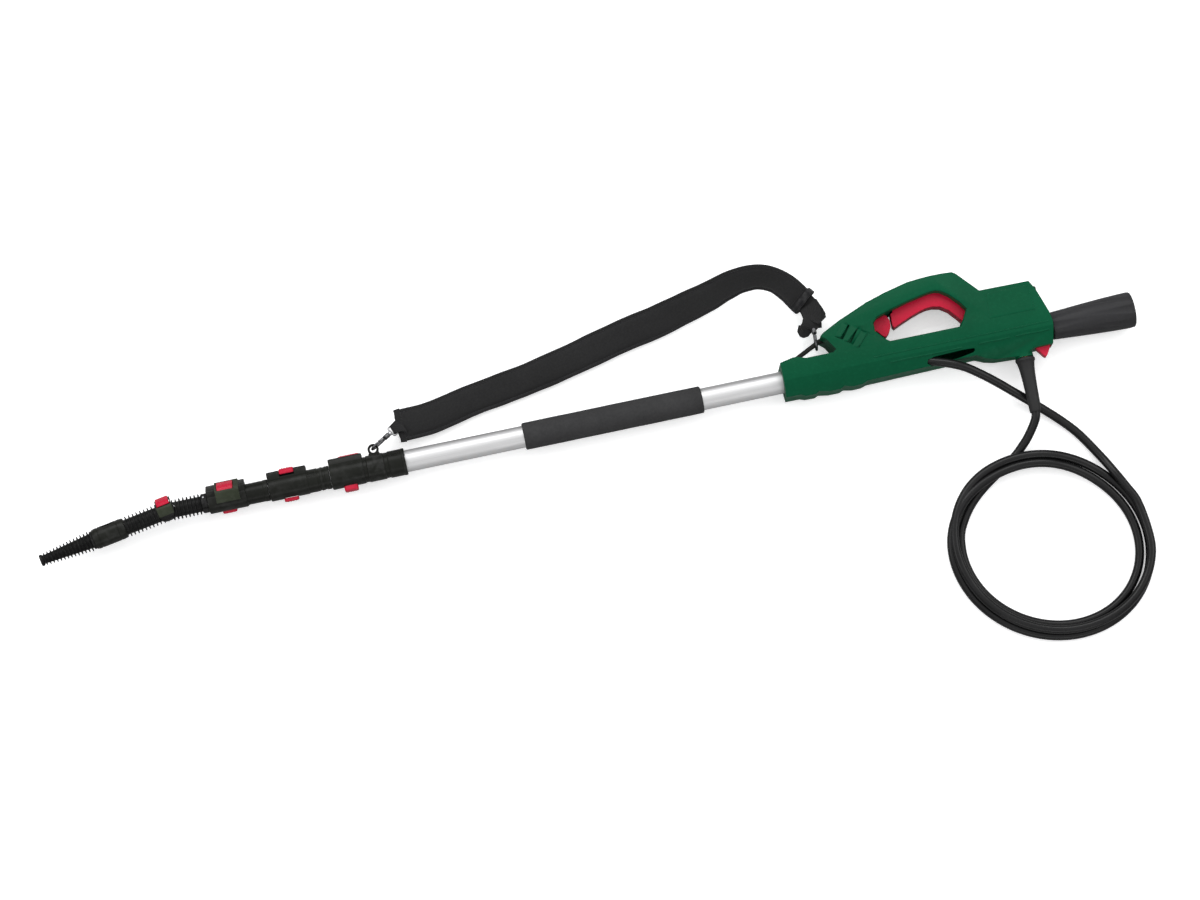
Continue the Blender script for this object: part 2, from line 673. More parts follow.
def foam_wobble(x, a, r):
    if r < 16.5:
        return 0.0
    return 0.22 * noise.noise(Vector((x * 0.035, math.cos(a) * 1.3, math.sin(a) * 1.3)))


gp = [(-543, 15.3)] + [(-543, 16.6), (-542.7, 17.5), (-542.0, 18.2), (-541.0, 18.5)] + along_prof(-538, -302, 18.5, 3.5) + [(-299, 18.5), (-298.0, 18.2), (-297.3, 17.5), (-297, 16.6), (-297, 15.3)]
v, f = lathe(gp, 80, wobble=foam_wobble, closed=True)
grip = make("foam_grip_sleeve", v, f, FOAM, "root", "foam", "foam_grip", 40, M=P)

v, f = lathe([(-1016, 0), (-1016, 5.2), (-1015, 6)] + [(-32, 6), (-31, 5.2), (-31, 0)], 32)
make("inner_hose_run", v, f, HOSE, "stage_3", "hose", "inner_hose", 40, M=P)


# ------------------------------------------------------------------ push-button collars
def radial(deg, x=0.0, frame_m=P):
    """Local x along the pole, z out from it at that roll."""
    c, s = math.cos(rad(deg)), math.sin(rad(deg))
    return frame_m @ Matrix(((1, 0, 0, x), (0, s, c, 0), (0, -c, s, 0), (0, 0, 0, 1)))


def octo(l, w, c=2.0, r=1.0):
    p = [(-l / 2 + c, -w / 2), (l / 2 - c, -w / 2), (l / 2, -w / 2 + c), (l / 2, w / 2 - c), (l / 2 - c, w / 2), (-l / 2 + c, w / 2), (-l / 2, w / 2 - c), (-l / 2, -w / 2 + c)]
    return round_poly(p, r, 2)


def boss_section(top, bot, w):
    """A round barrel with a raised block on its outer side."""
    rc, hb = (bot + w) / 2, 0.66 * w
    t0 = math.asin(hb / rc)
    n = 40
    arc = [(rc * math.cos(t0 + (2 * math.pi - 2 * t0) * k / n), rc * math.sin(t0 + (2 * math.pi - 2 * t0) * k / n)) for k in range(n + 1)]
    foot = rc * math.cos(t0)
    right = [(foot + 1.2, -hb + 0.15), (top - 2.6, -hb + 0.9), (top - 1.2, -hb + 1.5), (top - 0.3, -hb + 2.6), (top, -hb + 4.0)]
    return arc + right + [(p, -q) for p, q in right[::-1]]


def flared(outline, z0, z1, flare=0.55, up_to=60):
    """A cutter that widens by flare just under z1, so that the mouth it leaves is chamfered."""
    o = ccw([tuple(p) for p in outline])
    rings = [[(p[0], p[1], z0) for p in o], [(p[0], p[1], z1 - flare) for p in o]]
    wide = offset_poly(o, -flare)
    rings += [[(p[0], p[1], z1 + 0.02) for p in wide], [(p[0], p[1], up_to) for p in wide]]
    return skin(rings, caps='flat')


def octo_f(l, w, ext, c=2.0, r=1.0):
    """octo() carried ext further toward the front, with tighter corners where it is."""
    if ext:
        c, r = 0.6, 0.4
    a, b = -w / 2 - ext, w / 2
    p = [(-l / 2 + c, a), (l / 2 - c, a), (l / 2, a + c), (l / 2, b - c), (l / 2 - c, b), (-l / 2 + c, b), (-l / 2, b - c), (-l / 2, a + c)]
    return round_poly(p, r, 2)


def button(name, x, l, w, r0, r1, roll, body, frame_m=P, ridges=4, ext=0.0, node=None):
    M = radial(roll, x, frame_m)
    parts = []
    if ext:
        sec = [(r0, -w / 2), (r0, w / 2 + ext - 0.6), (r0 + 1.2, w / 2 + ext), (r1 - 4.4, w / 2 + ext), (r1 - 1.6, w / 2 + ext * 0.45), (r1 - 0.5, w / 2 - 2.0), (r1 - 0.5, -w / 2)]
        v, f = prism_x(round_poly(sec, 1.3, 4), -l / 2, l / 2, 1.5, 1.5, 4)
        parts.append(turn(M.inverted() @ frame_m @ Matrix.Translation((x, 0, 0)) @ Matrix.Rotation(rad(roll), 4, 'X'), (v, f)))
    else:
        parts.append(puck(octo(l, w, 2.0, 1.6), r0, r1 - 0.5, 1.5, 0.5, 4))
    pitch = (l - 5.0) / ridges
    for k in range(ridges):
        xc = -l / 2 + 2.5 + pitch * (k + 0.5)
        bar = puck([tuple(p) for p in round_poly([(xc - pitch * 0.27, -w / 2 + 2.2), (xc + pitch * 0.27, -w / 2 + 2.2), (xc + pitch * 0.27, w / 2 - 2.2), (xc - pitch * 0.27, w / 2 - 2.2)], 0.7, 3)], r1 - 1.0, r1, 0.5, 0)
        parts.append(bar)
        if ext:
            z0, z1 = r1 - 3.6, r1 - 1.2
            y0, y1 = w / 2 + ext * 0.8, w / 2 - 1.0
            ridge = prism_x(round_poly([(z1 - 1.6, y1 - 0.6), (z1 + 0.45, y1), (z0 + 0.45, y0 + 0.3), (z0 - 1.6, y0 - 0.6)], 0.5, 2), xc - pitch * 0.24, xc + pitch * 0.24, 0.4, 0.4, 2)
            parts.append(turn(M.inverted() @ frame_m @ Matrix.Translation((x, 0, 0)) @ Matrix.Rotation(rad(roll), 4, 'X'), ridge))
    v, f = merge(*parts)
    return make(name + "_cap", v, f, RED, body, "red", node or name, 35, M=M)


def collar(node, body, boss, boss_sec, roll, sleeve, bores, pockets, mat=BLACK, extras=()):
    R = Matrix.Rotation(rad(roll), 4, 'X')
    o = temp(prism_x(boss_sec, boss[0], boss[1], 1.4, 1.4, 3), P @ R)
    o = boolean(o, [temp(lathe(sleeve, 72), P)], 'UNION')
    seat, seat_r, mouth_r = bores
    cut = [temp(lathe([(-1100, 0), (-1100, mouth_r + 1), (boss[0] + 0.7, mouth_r + 1), (boss[0] + 1.4, mouth_r), (seat, mouth_r), (seat, seat_r), (sleeve[-1][0] - 0.9, seat_r), (sleeve[-1][0], seat_r + 0.7), (-600, seat_r + 0.7), (-600, 0)], 70), P)]
    for p in pockets:
        cut.append(temp(flared(octo_f(p['l'] + 0.8, p['w'] + 0.8, p.get('ext', 0), 2.2, 1.6), p['floor'], p['rim']), radial(p['roll'], p['x'])))
    o = boolean(o, cut)
    vf = to_vf(o)
    v, f = merge(vf, *extras)
    return make(node + "_body", v, f, mat, body, "black_plastic", node, 30)


def ring_z(x, y, z0, z1, r_out, r_in, lip=0.8, segs=48):
    prof = round_poly([(z0, r_in), (z1, r_in), (z1, r_out), (z0, r_out)], lip, 3)
    v, f = lathe(prof, segs, closed=True)
    T = Matrix.Translation((x, y, AX)) @ Matrix(((0, 1, 0, 0), (0, 0, 1, 0), (1, 0, 0, 0), (0, 0, 0, 1)))
    return turn(T, (v, f))


eyelet = ring_z(-745, 25.2, -2.3, 2.3, 7.6, 4.5, 1.1)
tab = puck(round_poly([(-753.5, 16.5), (-736.5, 16.5), (-738.2, 21.5), (-739.6, 20.6), (-742, 20.6), (-745, 20.55), (-748, 20.6), (-750.4, 20.6), (-751.8, 21.5)], 0.6, 2), AX - 2.2, AX + 2.2, 0.7, 0.7)
sleeve1 = [(-790, 0), (-790, 16), (-774, 17.2), (-771, 18.1), (-763.4, 18.1), (-762.6, 17.5), (-762.4, 17.2), (-757.6, 17.2), (-757.4, 17.5), (-756.6, 18.1), (-734.4, 18.1), (-733.6, 17.5), (-733.4, 17.2), (-728.6, 17.2),
           (-728.4, 17.5), (-727.6, 18.1), (-709.5, 18.1), (-709.0, 18.5), (-706.2, 18.5), (-705.2, 18.1), (-705, 17.4), (-705, 0)]
marks = []
for k in range(9):
    xk = -724.5 + 1.55 * k
    for a0 in (52, 232):
        bar = puck(round_poly([(-0.42, -4.6), (0.42, -4.6), (0.42, 4.6), (-0.42, 4.6)], 0.35, 2), 17.7, 18.55, 0.3, 0)
        marks.append(turn(radial(a0, xk), bar))
collar("collar_1", "root", (-808, -762), boss_section(22.4, 18.2, 18.2), 0, sleeve1,
       (-790.4, 15.35, 13.6),
       [dict(l=29, w=15, floor=15.8, rim=22.4, roll=0, x=-779.4, ext=0.8), dict(l=18.6, w=14, floor=15.7, rim=18.2, roll=180, x=-783.4)],
       extras=[eyelet, tab] + marks)
button("collar_1_button_top", -779.4, 28.6, 15, 18.3, 24.5, 0, "collar_1_button_top", ridges=7, ext=0.8)
button("collar_1_button_bottom", -783.4, 18.6, 14, 17.6, 25, 180, "collar_1_button_bottom")

sleeve2 = [(-884, 0), (-884, 14.5), (-842, 15.8), (-825.4, 15.8), (-824.8, 15.2), (-822.2, 15.2), (-821.6, 15.8), (-818.4, 15.8), (-817.8, 15.2), (-815.2, 15.2), (-814.6, 15.8), (-811.4, 15.8), (-810.2, 16.0), (-809, 15.6), (-808.6, 14.9), (-808.6, 0)]
marks = []
for k in range(8):
    bar = puck(round_poly([(-0.4, -3.6), (0.4, -3.6), (0.4, 3.6), (-0.4, 3.6)], 0.33, 2), 15.4, 16.35, 0.3, 0)
    marks.append(turn(radial(66, -838.5 + 1.6 * k), bar))
collar("collar_2", "stage_1", (-892, -838.7), boss_section(22.8, 16.4, 16.6), 10, sleeve2,
       (-882.4, 13.55, 11.9),
       [dict(l=19.6, w=15, floor=14.3, rim=22.8, roll=10, x=-864.8, ext=3.8), dict(l=19.6, w=13, floor=14, rim=16.4, roll=190, x=-864.8)], extras=marks)
button("collar_2_button_top", -864.8, 19.6, 15, 17, 24.9, 10, "collar_2_button_top", ext=3.8)
button("collar_2_button_bottom", -864.8, 19.6, 13, 15.8, 21.3, 190, "collar_2_button_bottom")

sleeve3 = [(-967, 0), (-967, 13), (-925, 14.3), (-899, 14.3), (-898.4, 14.7), (-894.4, 14.7), (-893, 14.4), (-892.5, 13.6), (-892.5, 0)]
collar("collar_3", "stage_2", (-975.4, -922.7), boss_section(20.6, 15.4, 16.6), 35, sleeve3,
       (-965.4, 11.85, 10.2),
       [dict(l=22, w=14, floor=12.8, rim=20.6, roll=35, x=-949.3, ext=5.6), dict(l=19.6, w=12, floor=12.4, rim=15.4, roll=215, x=-949.3)])
button("collar_3_button_top", -949.3, 22, 14, 15.4, 23.4, 35, "collar_3_button_top", ext=5.6)
button("collar_3_button_bottom", -949.3, 19.6, 12, 14.2, 19.6, 215, "collar_3_button_bottom")


def saddle(name, body, section, x0, x1, roll, pocket, frame_m, node, slot="black_plastic"):
    o = temp(prism_x(round_poly(section, 0.55, 3), x0, x1, 0.25, 0.25), frame_m @ Matrix.Rotation(rad(roll), 4, 'X'))
    if pocket:
        o = boolean(o, [temp(flared(octo_f(pocket['l'] + 0.9, pocket['w'] + 0.9, pocket.get('ext', 0), 2.2, 1.6), pocket['floor'], pocket['rim']), radial(roll, pocket['x'], frame_m))])
    v, f = to_vf(o)
    return make(name, v, f, OLIVE, body, slot, node, 30)


# raised frame round the button of the last collar, wrapping down its front
saddle("collar_3_button_frame", "stage_2", [(3.0, 15.4), (3.0, 17.6), (10.5, 17.2), (17.2, 15.0), (21.3, 11.2), (21.6, -11.6), (18.0, -11.6), (17.6, 9.0), (13.4, 12.6), (9.5, 14.6)], -963.2, -931.0, 35,
       dict(l=22, w=14, floor=12.8, rim=21.5, x=-949.3, ext=5.6), P, "collar_3")

# ------------------------------------------------------------------ ribbed sleeve, elbow, nozzle
def fins(x0, x1, count, root0, root1, r0, r1, base=2.0, tip=1.15, first=True):
    """Profile points for a run of thin fins, from x0 to x1."""
    out = []
    p = (x1 - x0) / count
    s = 1 if p > 0 else -1
    for i in range(count):
        t = (i + 0.5) / count
        xc = x0 + p * (i + 0.5)
        rt, rr = root0 + (root1 - root0) * t, r0 + (r1 - r0) * t
        half = [(abs(p) * 0.42, rt - 0.15), (base / 2, rt), (base * 0.36, rt + 0.5), (tip / 2, rr - 0.35), (tip * 0.28, rr)]
        out += [(xc - s * d, r) for d, r in half] + [(xc + s * d, r) for d, r in half[::-1]]
    return out


def notch(depth, count=4, width=0.22, phase=0.0, r_min=12.0, shift=0.0):
    def w(x, a, r):
        if r < r_min:
            return 0.0
        d = abs(((a + phase + shift * x) * count / (2 * math.pi) + 0.5) % 1 - 0.5) * 2 * math.pi / count
        return -depth * max(0.0, 1 - (d / width) ** 2) if d < width else 0.0
    return w


prof = [(-1034.9, 6.9), (-1010.4, 6.9), (-1010.4, 10.4), (-975.9, 10.4), (-975.9, 12.8), (-976.3, 13.2), (-983.2, 13.2), (-983.8, 12.6), (-984.4, 11)] + fins(-984.6, -1026.2, 8, 10.6, 10.6, 14.1, 14.1) + [(-1027.5, 10.8), (-1034.9, 10.8)]
o = temp(lathe(prof, 72, wobble=notch(1.5, 4, 0.16, rad(45), 12.2), closed=True), P)
pin_zone = lathe([(-30, 0), (-30, 13.4), (30, 13.4), (30, 0)], 64)
TZ = Matrix.Translation((-1033, 0, AX)) @ Matrix(((0, 1, 0, 0), (0, 0, 1, 0), (1, 0, 0, 0), (0, 0, 0, 1)))
o = boolean(o, [temp(pin_zone, TZ), temp(prism_x([(11, -12), (30, -12), (30, 12), (11, 12)], -1035, -1017.5, 0.01, 0.01, 1), P @ Matrix.Rotation(rad(40), 4, 'X'))])
rear_vf = to_vf(o)
dot = turn(radial(62, -980.2), puck([(1.5 * math.cos(2 * math.pi * k / 20), 1.5 * math.sin(2 * math.pi * k / 20)) for k in range(20)], 12.6, 13.9, 0.4, 0))
make("ribbed_sleeve_rear_bellows", *rear_vf, DARKFIN, "stage_3", "black_plastic", "ribbed_sleeve_rear", 28)
make("sleeve_set_pin", *dot, PIN, "stage_3", "steel", "ribbed_sleeve_rear", 35)

hub = lathe(round_poly([(-12.6, 0), (-12.6, 12.9), (12.6, 12.9), (12.6, 0)], [0, 1.2, 1.2, 0], 3, closed=False), 72)
TE = E @ Matrix(((0, 1, 0, 0), (0, 0, 1, 0), (1, 0, 0, 0), (0, 0, 0, 1)))
o = temp(hub, TE)
o = boolean(o, [temp(lathe([(-20, 0), (-20, 13.6), (20, 13.6), (20, 0)], 64), E)], 'INTERSECT')
front = lathe([(-57.4, 0), (-57.4, 10.6)] + fins(-56.8, 1.6, 11, 10.6, 10.6, 14.1, 14.1) + [(2.0, 10.4), (2.0, 0)], 72, wobble=notch(1.5, 4, 0.16, rad(45), 12.2))
o = boolean(o, [temp(front, E)], 'UNION')
o = boolean(o, [temp(lathe([(-70, 0), (-70, 6.9), (30, 6.9), (30, 0)], 48), E), temp(flared(octo_f(18.8, 14.8, 3.4), 12.6, 15.2), radial(40, 0, E))])
make("elbow_sleeve_bellows", *to_vf(o), DARKFIN, "elbow", "black_plastic", "elbow_sleeve", 28)
pinhead = turn(TE, lathe(round_poly([(12.3, 0), (12.3, 4.2), (13.35, 4.2), (13.35, 0)], [0, 0, 0.7, 0], 3, closed=False), 40))
pinslot = turn(TE, lathe(round_poly([(-13.35, 0), (-13.35, 4.2), (-12.3, 4.2), (-12.3, 0)], [0, 0.7, 0, 0], 3, closed=False), 40))
make("elbow_pin_heads", *merge(pinhead, pinslot), PIN, "elbow", "steel", "elbow_sleeve", 35)
saddle("elbow_button_frame", "elbow", [(1.5, 12.7), (1.5, 14.5), (7.6, 14.6), (12.6, 13.2), (15.3, 10.2), (15.5, -9.4), (11.7, -9.4), (11.5, 7.6), (9.0, 11.0), (5.6, 12.6)], -10.5, 10.5, 40,
       dict(l=17.8, w=13.8, floor=8, rim=15.3, x=0, ext=3.4), E, "elbow_sleeve")
button("elbow_button", 0, 17.8, 13.8, 14.9, 20.0, 40, "elbow_button", E, ext=3.0)

cprof = [(-103, 0), (-103, 12.4), (-102.4, 13.1), (-99.6, 13.9), (-98, 14.1), (-95.4, 14.1), (-95.0, 13.7), (-94.0, 13.7), (-93.6, 14.1), (-68.4, 14.1), (-68.0, 13.7), (-67.0, 13.7), (-66.6, 14.1), (-64.5, 14.1), (-59.2, 13.5), (-58.3, 12.9), (-58, 12.2), (-58, 0)]
o = temp(lathe(cprof, 80), E)
oval = [(11 * math.cos(2 * math.pi * k / 40), 5 * math.sin(2 * math.pi * k / 40)) for k in range(40)]
o = boolean(o, [temp(flared(oval, 10.4, 14.0, 0.7), radial(25, -80, E)), temp(lathe([(-110, 0), (-110, 6.9), (-50, 6.9), (-50, 0)], 48), E)])
make("nozzle_coupling_body", *to_vf(o), BLACK, "elbow", "black_plastic", "nozzle_coupling", 30)
dark = puck([(9.6 * math.cos(2 * math.pi * k / 32), 3.8 * math.sin(2 * math.pi * k / 32)) for k in range(32)], 10.1, 10.9, 0.4, 0)
make("nozzle_window_seal", *dark, SEAL, "elbow", "hose", "nozzle_coupling", 35, M=radial(25, -80, E))

tprof = [(-178.8, 4.4), (-112, 4.4), (-112, 8), (-103.4, 8), (-103.4, 12.0), (-103.7, 12.4), (-105.6, 12.4), (-106, 12.0), (-106.2, 10.4)] + fins(-106.4, -174.6, 14, 10.2, 6.0, 14.2, 8.6, 1.9, 1.0) + [(-174.7, 6.2), (-175.0, 7.4), (-175.5, 7.9), (-178.2, 8.0), (-178.8, 7.5)]
v, f = lathe(tprof, 64, wobble=lambda x, a, r: -1.1 * max(0.0, 1 - ((((a + (0 if int(x / 4.87) % 2 else math.pi / 4)) * 4 / (2 * math.pi) + 0.5) % 1 - 0.5) * 2 * math.pi / 4 / 0.2) ** 2) if r > 7.6 + (x + 178.8) * 0.05 else 0.0, closed=True)
make("nozzle_tip_fins", v, f, DARKFIN, "nozzle_tip", "black_plastic", "nozzle_tip", 28, M=E)
v, f = lathe(round_poly([(-177.6, 1.6), (-168, 1.6), (-168, 4.1), (-176.5, 4.1)], 0.4, 2), 32, closed=True)
make("jet_insert_turned", v, f, BRASS, "nozzle_tip", "brass", "jet_insert", 35, M=E)

# ------------------------------------------------------------------ rear coupling
def wedge(a, centre, half, r):
    """How far a flat facet facing centre, half wide either side, lies under a round of radius r."""
    if half <= 0.004:
        return 0.0
    da = (a - centre + math.pi) % (2 * math.pi) - math.pi
    if abs(da) >= half:
        return 0.0
    return r - r * math.cos(half) / math.cos(da)


def flutes(x, a, r):
    """Long pointed facets: eight from the front end, and eight slanting ones that widen to the open end."""
    if r < 18.6 or x > 300:
        return 0.0
    t = (x - 189) / 111
    d = 0.0
    for k in range(8):
        base = rad(102 + 45 * k)
        d = max(d, wedge(a, base - rad(1.5) * t, rad(16.5) * max(0.0, 1 - t / 0.54) ** 0.8, r) * 2.3)
        u = max(0.0, (t - 0.40) / 0.60)
        up, low = base - rad(16.5), base - rad(14.0) + rad(27.5) * u ** 0.85
        half = (low - up) / 2
        if u > 0:
            d = max(d, wedge(a, (up + low) / 2, half, r) * 2.5)
    return -d * min(1.0, (300 - x) / 1.6)


outer = [(189.3, 18.9)] + [(190 + 104 * k / 52, 19.45 + (25 - 19.45) * k / 52) for k in range(53)] + [(295.6, 25.1), (297.6, 25.05), (299.4, 24.7), (300.8, 24.0), (301.7, 23.2), (302, 22.4)]
inner = [(302, 18.7), (301.6, 18.2), (300.9, 18), (262, 18), (241, 18), (240, 17), (240, 11.6), (188.8, 11.6), (188.8, 18.3)]
v, f = lathe(outer + inner, 240, wobble=flutes, closed=True)
make("coupling_cone", v, f, CONE, "coupling_nut", "cone", "coupling_nut", 24, M=P)
v, f = lathe(round_poly([(153, 4.5), (262, 4.5), (262, 9), (259, 9.8), (254, 9.8), (254, 8.2), (250.6, 8.2), (250.6, 9.8), (188.6, 9.8), (179, 8), (153, 8)], 0.35, 2), 56, closed=True)
make("inlet_nipple_turned", v, f, BRASS, "root", "brass", "inlet_nipple", 30, M=P)
v, f = lathe([(252.3 + 1.4 * math.cos(a), 9.65 + 1.15 * math.sin(a)) for a in [2 * math.pi * k / 16 for k in range(16)]], 56, closed=True)
make("inlet_o_ring", v, f, SEAL, "root", "hose", "inlet_seal", 60, M=P)

# ------------------------------------------------------------------ hose boot
B = Matrix.Translation((143.4, -36.6, AX)) @ Matrix.Rotation(rad(-2.1), 4, 'Z') @ Matrix.Rotation(rad(1.4), 4, 'X')
BY = B @ Matrix(((0, 1, 0, 0), (1, 0, 0, 0), (0, 0, -1, 0), (0, 0, 0, 1)))
bp = [(0, 8.6), (0, 13.0), (-0.5, 13.4), (-3.4, 13.4), (-4.0, 12.9), (-5.0, 12.2), (-8, 11.5), (-13, 10.7), (-20, 10.0), (-30, 9.4), (-44, 8.9), (-58, 8.45), (-70, 8.1), (-73.4, 7.9), (-74.5, 7.6), (-75, 7.05), (-75, 6.3), (-63, 6.3), (-63, 5.6), (-10.4, 5.6), (-10.4, 8.6)]
v, f = lathe(bp, 56, closed=True)
make("hose_boot_moulded", v, f, BOOT, "root", "hose", "hose_boot", 35, M=BY)

# ------------------------------------------------------------------ housing, trigger and small red parts
OUTLINE = [
    (-186, -24.6), (-166, -24.8), (-160, -27.6), (-146, -27.9), (-141, -25.2), (-127, -27.9), (-112, -28), (-106, -25.2), (-94, -27.9), (-82, -27.6), (-74, -24.8),
    (16, -23), (78, -21.5), (90, -27.8), (103, -31.5), (137, -33.5), (151, -30), (157, -26.8), (183.5, -26.2), (186.8, -8), (188, 2), (186, 15),
    (176, 50), (169.5, 63.2), (101, 64), (76, 94), (71, 97.6), (58, 98.6), (42, 98.8), (25, 98), (8, 96.4), (-26, 88.3), (-53, 80), (-94, 63),
    (-119, 50.6), (-123.5, 46.8), (-116, 40), (-107, 24.5), (-112, 20.8), (-150, 20.8), (-160, 24.6), (-167, 25.2), (-185.2, 21.4)]
GRIP_HOLE = [
    (-49.6, 38.6), (-38.4, 24.4), (-33, 20.4), (64, 20.2), (69.3, 27.7), (78, 43), (71, 54), (58.9, 67.6), (49.2, 74.6), (43, 76.4), (33, 76), (4.1, 70.1),
    (-22.9, 63.1), (-42.6, 56.6), (-49, 50.5)]


def near_loop(poly, tol=0.25):
    a = np.array(poly, float)
    b = np.roll(a, -1, axis=0)

    def dist(p):
        d = b - a
        t = np.clip(((p - a) * d).sum(1) / (d * d).sum(1), 0, 1)
        return float(np.linalg.norm(p - a - t[:, None] * d, axis=1).min())
    return lambda co: dist(np.array((co[0] / MM, co[1] / MM))) < tol


on_out, on_hole = near_loop(OUTLINE), near_loop(GRIP_HOLE)


def half_t(y):
    if y < -3.7:
        return 7.9 + (27 - 7.9) * (y + 38) / 34.3
    if y < 22:
        return 27
    return 27 - 7 * (y - 22) / 83


def rim(e, loop):
    a, b = e.verts[0].co, e.verts[1].co
    if not (loop(a) and loop(b)):
        return False
    return all(abs(abs(v.co.z / MM - AX) - half_t(v.co.y / MM)) < 0.3 for v in e.verts)


def crease(e):
    a, b = e.verts[0].co, e.verts[1].co
    return all(abs(v.co.y / MM + 3.7) < 0.05 and abs(abs(v.co.z / MM - AX) - 27) < 0.1 for v in (e.verts[0], e.verts[1]))


def outside(e):
    """Edges of the details on the outer side faces."""
    return all(abs(v.co.z / MM - AX) > half_t(v.co.y / MM) - 0.15 and -36 < v.co.y / MM < 100 for v in e.verts) and not rim(e, on_out) and not rim(e, on_hole) and not crease(e)


for n in ("housing_left", "housing_right"):
    refine(n, GREEN, [
        (lambda e: rim(e, on_out), 2.6, 4),
        (lambda e: rim(e, on_hole), 3.0, 4),
        (crease, 3.0, 3),
    ], angle=26)

for k, (yb, xa, xb) in enumerate(((2.3, -60, 183), (-8.4, -40, 60), (-8.4, 84, 126), (-8.4, 134, 181))):
    pth = [(xa + (xb - xa) * i / 60, yb + 0.25 * math.sin(i * 0.11), AX + half_t(yb) - 0.1) for i in range(61)]
    v, f = sweep(pth, circ(1.15, 12, 0.75), start_up=(0, 0, 1))
    make(f"side_bead_{k + 1}", v, f, GREEN, "root", "housing", None, 60)


def on_side(x, y, up):
    return (x, y, AX + half_t(y) + up)


def patch(q, ts, us, lift, depth):
    """A plate that follows the housing side: corner points q, rows ts, columns us, height lift(t, u)."""
    a0, a1, b1, b0 = [np.array(p, float) for p in q]
    v = []
    for t in ts:
        e0, e1 = a0 + (b0 - a0) * t, a1 + (b1 - a1) * t
        v += [on_side(*(e0 + (e1 - e0) * u), lift(t, u)) for u in us]
    n_, rows, m_ = len(us), len(ts), len(us) * len(ts)
    v += [(p[0], p[1], p[2] - depth) for p in v]
    f = []
    for i in range(rows - 1):
        for j in range(n_ - 1):
            c = i * n_ + j
            f.append((c, c + 1, c + n_ + 1, c + n_))
            f.append((m_ + c, m_ + c + n_, m_ + c + n_ + 1, m_ + c + 1))
        for c in (i * n_, i * n_ + n_ - 1):
            f.append((c, c + n_, m_ + c + n_, m_ + c))
    for j in range(n_ - 1):
        for c in (j, (rows - 1) * n_ + j):
            f.append((c, c + 1, m_ + c + 1, m_ + c))
    return v, f


# raised slats of the vent: each rises from its upper edge to a step over the slot beside it
for k, q in enumerate((((-104.4, 42.7), (-91.4, 58.9), (-83.6, 54.6), (-98.0, 38.8)), ((-95.8, 34.8), (-80.2, 53.2), (-71.4, 47.6), (-90.2, 31.0)), ((-85.2, 23.5), (-68.5, 41.9), (-60.8, 37.2), (-78.2, 19.6)))):
    v, f = patch(q, [i / 14 for i in range(15)], [0, 0.03, 0.07, 0.2, 0.35, 0.5, 0.65, 0.8, 0.93, 0.97, 1.0],
                 lambda t, u: (1.9 * min(t, 0.93) - 0.15 - (0.35 if t > 0.95 else 0)) * (1.0 if 0.03 < u < 0.97 else 0.75 if 0 < u < 1 else 0.2), 2.4)
    make(f"vent_slat_{k + 1}", v, f, GREEN, "root", "housing", None, 35)
liner = [(-104.5, 41), (-92, 56.5), (-63, 40), (-63, 35), (-77, 17), (-84, 17)]
v, f = puck(ccw(liner), AX + 16.6, AX + 18.4, 0.4, 0.4, 2)
make("vent_liner", v, f, GREEN, "root", "housing", None, 30)

# plain cover on the rear block
es = [0, 0.006, 0.016, 0.03, 0.1, 0.2, 0.3, 0.4, 0.5, 0.6, 0.7, 0.8, 0.9, 0.97, 0.984, 0.994, 1.0]
v, f = patch(((105.4, 21.6), (108.2, 58.6), (165.8, 58.6), (168.8, 21.6)), es, es,
             lambda t, u: (-0.5, 0.22, 0.52, 0.66)[min(3, es.index(t), 16 - es.index(t), es.index(u), 16 - es.index(u))], 1.6)
make("rear_cover", v, f, GREEN, "root", "housing", None, 30)


refine("trigger", RED, [(lambda e: abs(e.verts[0].co.z - e.verts[1].co.z) < 1e-6 and abs(e.calc_face_angle(0) - math.pi / 2) < 0.2, 5.2, 7)], angle=40)
refine("trigger_lock", RED, [(lambda e: abs(e.verts[0].co.z - e.verts[1].co.z) < 1e-6 and abs(e.calc_face_angle(0) - math.pi / 2) < 0.2, 4.0, 6)], angle=40)
refine("rear_lever", RED, [(lambda e: abs(e.verts[0].co.z - e.verts[1].co.z) < 1e-6 and abs(e.calc_face_angle(0) - math.pi / 2) < 0.2, 1.2, 3)], angle=40)
refine("strap_eye_bar", BLACK, [(lambda e: abs(e.verts[0].co.z - e.verts[1].co.z) < 1e-6 and abs(e.calc_face_angle(0) - math.pi / 2) < 0.2, 0.9, 3)], angle=40)
v, f = merge(lathe([(166, 0), (166, 2.1), (175.8, 2.1), (175.8, 3.4), (176.2, 3.9), (178.6, 3.9), (180.2, 3.3), (181, 2.2), (181, 1.2), (180.4, 0.8), (180.4, 0)], 40, 56, 0))
make("rear_peg_turned", v, f, BLACK, "root", "black_plastic", "rear_peg", 35, M=P)

